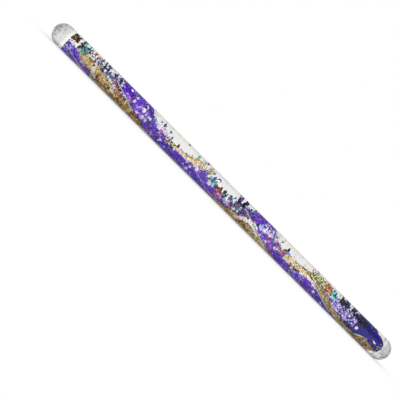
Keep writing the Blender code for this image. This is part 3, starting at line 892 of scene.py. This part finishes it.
def build_more_confetti():
    """Confetti beyond the CAD's. It rides on the charge of the channel that it lies in."""
    groups = {}
    rng = np.random.default_rng(31)

    def put(x, angle, shape, colour, radius, size):
        groups.setdefault((channel_of(x, angle), shape, colour), []).append((x, angle, radius, size))

    for (shape, colour), places in FRONT_CONFETTI.items():
        for x, height in places:
            put(x, math.pi - seen_angle(height), shape, colour, LOOSE_RADIUS, OUTLINES[shape][1])
    for x in np.linspace(CREST[0][0], CREST[-1][0], CREST_FLAKES):
        height = share_at(CREST, x) + rng.uniform(-0.2, 0.2)
        put(x, math.pi - seen_angle(height), "hexagon", "silver", CREST_RADIUS, CREST_SIZE)
    for start, end, low, high, front, behind, words in DOT_ZONES:
        colours = words.split()
        for k in range(front + behind):
            x, height = rng.uniform(start, end), rng.uniform(low, high)
            angle = math.pi - seen_angle(height) if k < front else back_angle(height)
            colour = colours[k % len(colours)]
            share, deepest = (FINE, FINE_DEEPEST) if colour in FINE_SLOTS else (1.0, DEEPEST)
            size = rng.uniform(*DOT_SIZES) * share
            put(x, angle, "hexagon", colour, rng.uniform(deepest, LOOSE_RADIUS), size)
    for k in range(BACK_DOTS):
        x, angle = rng.uniform(-BACK_REACH, BACK_REACH), rng.uniform(*BACK_ANGLES)
        put(x, angle, "hexagon", BACK_COLOURS[k % len(BACK_COLOURS)], LOOSE_RADIUS, rng.uniform(*DOT_SIZES))
    for (channel, shape, colour), flakes in sorted(groups.items()):
        x, angle, radius, size = np.array(flakes).T
        radius = np.minimum(radius, np.sqrt(LOOSE_RADIUS**2 - size**2) - 0.05)
        # Those too near the divider move off it
        edge = edge_angle(x) + (0 if channel == "gold" else math.pi)
        margin = np.arcsin((CHANNEL_FLOOR + size) / radius)
        angle = edge + np.clip((angle - edge) % TURN, margin, math.pi - margin)
        centres, outward = on_bore(x, angle, radius)
        kept = in_channel(centres, channel, 0 * size) & (np.abs(x) + size < CHARGE_END_X)
        if not kept.any():
            continue
        tilt = rng.normal(0, 0.25, centres.shape) * (radius < FLAT_RADIUS)[:, None]
        spins, tones = rng.uniform(0, TURN, len(x)), rng.uniform(0, 1, len(x))
        made = plates(
            f"{channel}_{colour}_{shape}_scatter", OUTLINES[shape][0], centres[kept], (outward + tilt)[kept],
            size[kept], spins[kept], tones[kept], SCATTER_THICKNESS, foils[colour], f"{channel}_charge",
        )


PLUG_SPREAD = (0.7, 1.2)
PLUG_GAP = 0.1
# Flakes that stay at the plugs: name, from and to along the tube, from and to in height, how many, size, colour, end
PLUG_FLAKES = (
    ("top_plug_specks", -147.0, -146.5, -6.5, 5.0, 34, 0.42, "black", -1),
    ("top_dark_flakes", -146.6, -141.6, 3.5, 7.4, 34, 0.9, "black", -1),
    ("top_brown_flakes", -146.4, -141.6, 3.0, 7.4, 16, 0.9, "orange", -1),
    ("top_pale_flakes", -146.6, -141.6, -6.0, 3.0, 14, 0.7, "silver", -1),
    ("bottom_dark_flakes", 147.6, 152.4, -3.0, 5.0, 26, 0.5, "black", 1),
    ("bottom_pale_flakes", 148.6, 152.4, -3.0, 4.0, 12, 0.4, "silver", 1),
)


def build_plug_flakes():
    """Confetti at the plugs, which is pressed with the glitter there."""
    for seed, (name, start, end, low, high, count, size, colour, plug) in enumerate(PLUG_FLAKES):
        rng = np.random.default_rng(50 + seed)
        x = rng.uniform(start, end, count)
        angle = np.array([math.pi - seen_angle(height) for height in rng.uniform(low, high, count)])
        sizes = size * rng.uniform(*PLUG_SPREAD, count)
        reach = np.array([room_at(place, PLUG_GAP) for place in x + sizes * plug])
        radius = np.sqrt(np.maximum(reach**2 - sizes**2, 0.1)) - 0.06
        centres, outward = on_bore(x, angle, radius)
        normals = outward + rng.normal(0, 0.2, outward.shape)
        spins, tones = rng.uniform(0, TURN, count), rng.uniform(0, 1, count)
        channels = np.array([channel_of(*place) for place in zip(x, angle)])
        for channel in CHANNEL_QUARTER:
            own = channels == channel
            if not own.any():
                continue
            made = plates(
                f"{name}_{channel}", HEXAGON, centres[own], normals[own], sizes[own], spins[own], tones[own],
                GLITTER_THICKNESS, foils[colour], "wand",
            )
            rest_at_plug([made], f"{channel}_drift", *(TOP_REST if plug < 0 else BOTTOM_REST))


# The film of glitter on the bore, and how far it reaches from each plug
FILM_RADIUS = 6.455
FILM_FLAKES = 1100
FILM_SIZES = (0.25, 0.45)
FILM_SPANS = {"top": (-146.9, -134.8), "bottom": (134.2, 146.8)}


def lies_at(x, angle):
    """Which glitter lies against the bore at a place, if any."""
    channel = channel_of(x, angle)
    place = np.array((math.cos(angle), math.sin(angle))) * CONTENT_RADIUS

    def under(fill, lean=None):
        _, up, inside, _ = channel_section(channel, x, lean)
        return place @ up < level_at(inside, up, share_at(fill, x))

    if channel == "purple":
        return "purple" if under(FILL["purple"]) else None
    if x < STRAY_END_X and under(STRAY_FILL, STRAY_LEAN):
        return "purple"
    if under(FILL["gold"]):
        return "gold"
    return "purple" if x > PACKED_START_X and under(PACKED_FILL) else None


def build_wall_film():
    """Fine glitter that clings to the bore by the plugs, and stays there when the charges drift off."""
    for seed, (end, (low, high)) in enumerate(FILM_SPANS.items()):
        rng = np.random.default_rng(70 + seed)
        groups = {"purple": [], "gold": []}
        for x, angle in zip(rng.uniform(low, high, FILM_FLAKES), rng.uniform(0, TURN, FILM_FLAKES)):
            found = lies_at(x, angle)
            if found:
                groups[found].append((x, angle))
        for colour, flakes in groups.items():
            if not flakes:
                continue
            x, angle = np.array(flakes).T
            centres, outward = on_bore(x, angle, FILM_RADIUS)
            sizes = rng.uniform(*FILM_SIZES, len(x))
            name, glitter = f"{end}_{colour}_film", GLITTERS[colour]
            loose(name, glitter, centres, outward, sizes, "wand", rng, HEXAGON, FILM_THICKNESS)


def settle(name, channel, glitter, fill, ends, body, count, seed, under=None, lean=None):
    """A heap with the flakes on it."""
    pile = build_pile(f"{name}_heap", channel, fill, *ends, body, glitter[1], under, lean)
    return pile, surface_flakes(f"{name}_flakes", pile, channel, glitter, body, count, seed)


def rest_at_plug(pieces, joint, plug_x, keep):
    """Gives each piece of glitter that stays at a plug a mesh of its own."""
    for made in pieces:
        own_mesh(made)


# Heaps of the charges: name, channel, glitter, fill, ends, body, flakes on it, seed, fill of what lies under it, lean
CHARGE_HEAPS = (
    ("purple", "purple", PURPLE, FILL["purple"], (CHARGE_START_X, CHARGE_END_X), "purple_charge", 9000, 11),
    ("gold", "gold", GOLD, FILL["gold"], (GOLD_START_X, CHARGE_END_X), "gold_charge", 6000, 12, STRAY_FILL),
    (
        "stray_purple", "gold", PURPLE, STRAY_FILL, (CHARGE_START_X, STRAY_END_X), "gold_charge", 500, 13, None,
        STRAY_LEAN,
    ),
    (
        "packed_purple", "gold", PURPLE, PACKED_FILL, (PACKED_START_X, CHARGE_END_X), "gold_charge", 300, 18,
        FILL["gold"],
    ),
)
# Heaps that stay at a plug, in the same order, and how they are pressed
PLUG_HEAPS = (
    (("top_purple", "purple", PURPLE, FILL["purple"], TOP_HEAP_X, "wand", 150, 14), TOP_REST),
    (("top_stray", "gold", PURPLE, STRAY_FILL, TOP_HEAP_X, "wand", 150, 15, None, STRAY_LEAN), TOP_REST),
    (("bottom_purple", "purple", PURPLE, FILL["purple"], BOTTOM_PURPLE_X, "wand", 350, 16), BOTTOM_REST),
    (("bottom_gold", "gold", GOLD, FILL["gold"], BOTTOM_GOLD_X, "wand", 250, 17), BOTTOM_REST),
    (("bottom_packed", "gold", PURPLE, PACKED_FILL, BOTTOM_GOLD_X, "wand", 200, 19, FILL["gold"]), BOTTOM_REST),
)
# Glitter adrift: from and to along the tube, how many flakes, height over the heap in which most of them hang
PURPLE_DRIFT = (
    (-140, 140, 1200, 0.8), (-140, -100, 500, 4.0), (-80, -54, 300, 1.6), (-116, -98, 300, 2.5),
    (28, 52, 500, 2.0), (106, 136, 600, 2.2),
)
GOLD_DRIFT = ((-136, -64, 500, 0.7), (-136, -100, 200, 2.0), (6, 120, 500, 0.7), (80, 100, 260, 2.6))


def build_heaps():
    """The settled glitter. Each channel's main heap stands for the CAD's."""
    for heap in CHARGE_HEAPS:
        pile, _ = settle(*heap)
        if heap[0] in FILL:
            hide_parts(f"{heap[0]}_glitter")
    for heap, rest in PLUG_HEAPS:
        rest_at_plug(settle(*heap), f"{heap[1]}_drift", *rest)


FLOOR_Z = -TUBE_RADIUS - HAIR
FLOOR_REACH = 3000.0
# What the camera, glass and gloss see of the floor is raised by this glow, to make it white
FLOOR_GLOW = (0.35, 0.35, 0.35, 1)
WHITE = (1, 1, 1, 1)


def build_stage():
    """A white sweep lit evenly from all round.

    What shows straight through clear plastic or in its gloss has a grey ceiling, which shades the plastic's edges.
    """
    floor_mesh = bpy.data.meshes.new("floor")
    reach, level = FLOOR_REACH * MM, FLOOR_Z * MM
    corners = [(-reach, -reach, level), (reach, -reach, level), (reach, reach, level), (-reach, reach, level)]
    floor_mesh.from_pydata(corners, [], [(0, 1, 2, 3)])
    paper = new_material("white_paper_sweep")
    tree = paper.node_tree
    matt = add(tree, "BsdfDiffuse", {"Color": srgb("#d4d4d4")})
    rays = add(tree, "LightPath").outputs
    seen = add(tree, "Math", {0: rays["Is Camera Ray"], 1: rays["Is Transmission Ray"]}, operation="MAXIMUM")
    seen = add(tree, "Math", {0: seen, 1: rays["Is Glossy Ray"]}, operation="MAXIMUM")
    glow = add(tree, "Emission", {"Color": FLOOR_GLOW, "Strength": seen})
    close_material(paper, add(tree, "AddShader", {0: matt, 1: glow}))
    floor_mesh.materials.append(paper)
    floor = bpy.data.objects.new("floor", floor_mesh)
    bpy.context.scene.collection.objects.link(floor)

    world = bpy.data.worlds.new("white_room")
    bpy.context.scene.world = world
    world.use_nodes = True
    tree = world.node_tree
    tree.nodes.clear()
    place = add(tree, "TexCoord").outputs["Generated"]
    parts = add(tree, "SeparateXYZ", {"Vector": place})
    ceiling = {"From Min": 0.35, "From Max": 0.9, "To Min": 1.0, "To Max": 0.3}
    height = add(tree, "MapRange", {"Value": parts.outputs["Z"], **ceiling}, interpolation_type="SMOOTHSTEP")
    rays = add(tree, "LightPath").outputs
    clear = add(tree, "Math", {0: rays["Is Transmission Ray"], 1: rays["Is Glossy Ray"]}, operation="MAXIMUM")
    depths = {0: rays["Glossy Depth"], 1: rays["Transmission Depth"], 2: rays["Diffuse Depth"]}
    struck = add(tree, "Math", depths, operation="MULTIPLY_ADD")
    straight = add(tree, "Math", {0: clear, 1: struck}, operation="SUBTRACT", use_clamp=True)
    room = add(tree, "Background", {"Color": WHITE, "Strength": height})
    white = add(tree, "Background", {"Color": WHITE, "Strength": 1.0})
    lit = add(tree, "MixShader", {0: straight, 1: white, 2: room})
    shown = add(tree, "MixShader", {0: rays["Is Camera Ray"], 1: lit, 2: white})
    add(tree, "OutputWorld", {"Surface": shown})


def build_camera():
    """The photograph's view: nearly level, a little from the top plug's end, rolled to lay the wand askew."""
    distance, sensor = 900.0, 36.0
    yaw, rise, roll = math.radians(6.0), math.radians(4.0), math.radians(45.04)
    # The photograph's width and the middle of the wand in it, in pixels, and the size of a pixel
    width, (across, down), pixel = 400, (224.4, 194.4), 0.679
    level = Vector((math.cos(yaw), -math.sin(yaw), 0.0))
    back = Vector((-math.sin(yaw) * math.cos(rise), -math.cos(yaw) * math.cos(rise), math.sin(rise)))
    upright = back.cross(level)
    right = level * math.cos(roll) + upright * math.sin(roll)
    up = upright * math.cos(roll) - level * math.sin(roll)
    aim = right * (width / 2 - across) * pixel + up * (down - width / 2) * pixel
    camera_data = bpy.data.cameras.new("camera")
    camera_data.sensor_fit = "HORIZONTAL"
    camera_data.sensor_width = sensor
    camera_data.lens = sensor * distance / (width * pixel)
    camera_data.clip_start = 0.01
    camera = bpy.data.objects.new("camera", camera_data)
    bpy.context.scene.collection.objects.link(camera)
    place = (aim + back * distance) * MM
    turn = Matrix((right, up, back)).transposed().to_4x4()
    camera.matrix_world = Matrix.Translation(place) @ turn
    bpy.context.scene.camera = camera


build_casing()
build_oil()
build_divider()
build_heaps()
build_adrift("purple", PURPLE_DRIFT, 21)
build_adrift("gold", GOLD_DRIFT, 22)
build_clinging()
build_confetti()
build_more_confetti()
build_plug_flakes()
build_wall_film()
build_stage()
build_camera()
bpy.context.scene.view_settings.view_transform = "Standard"
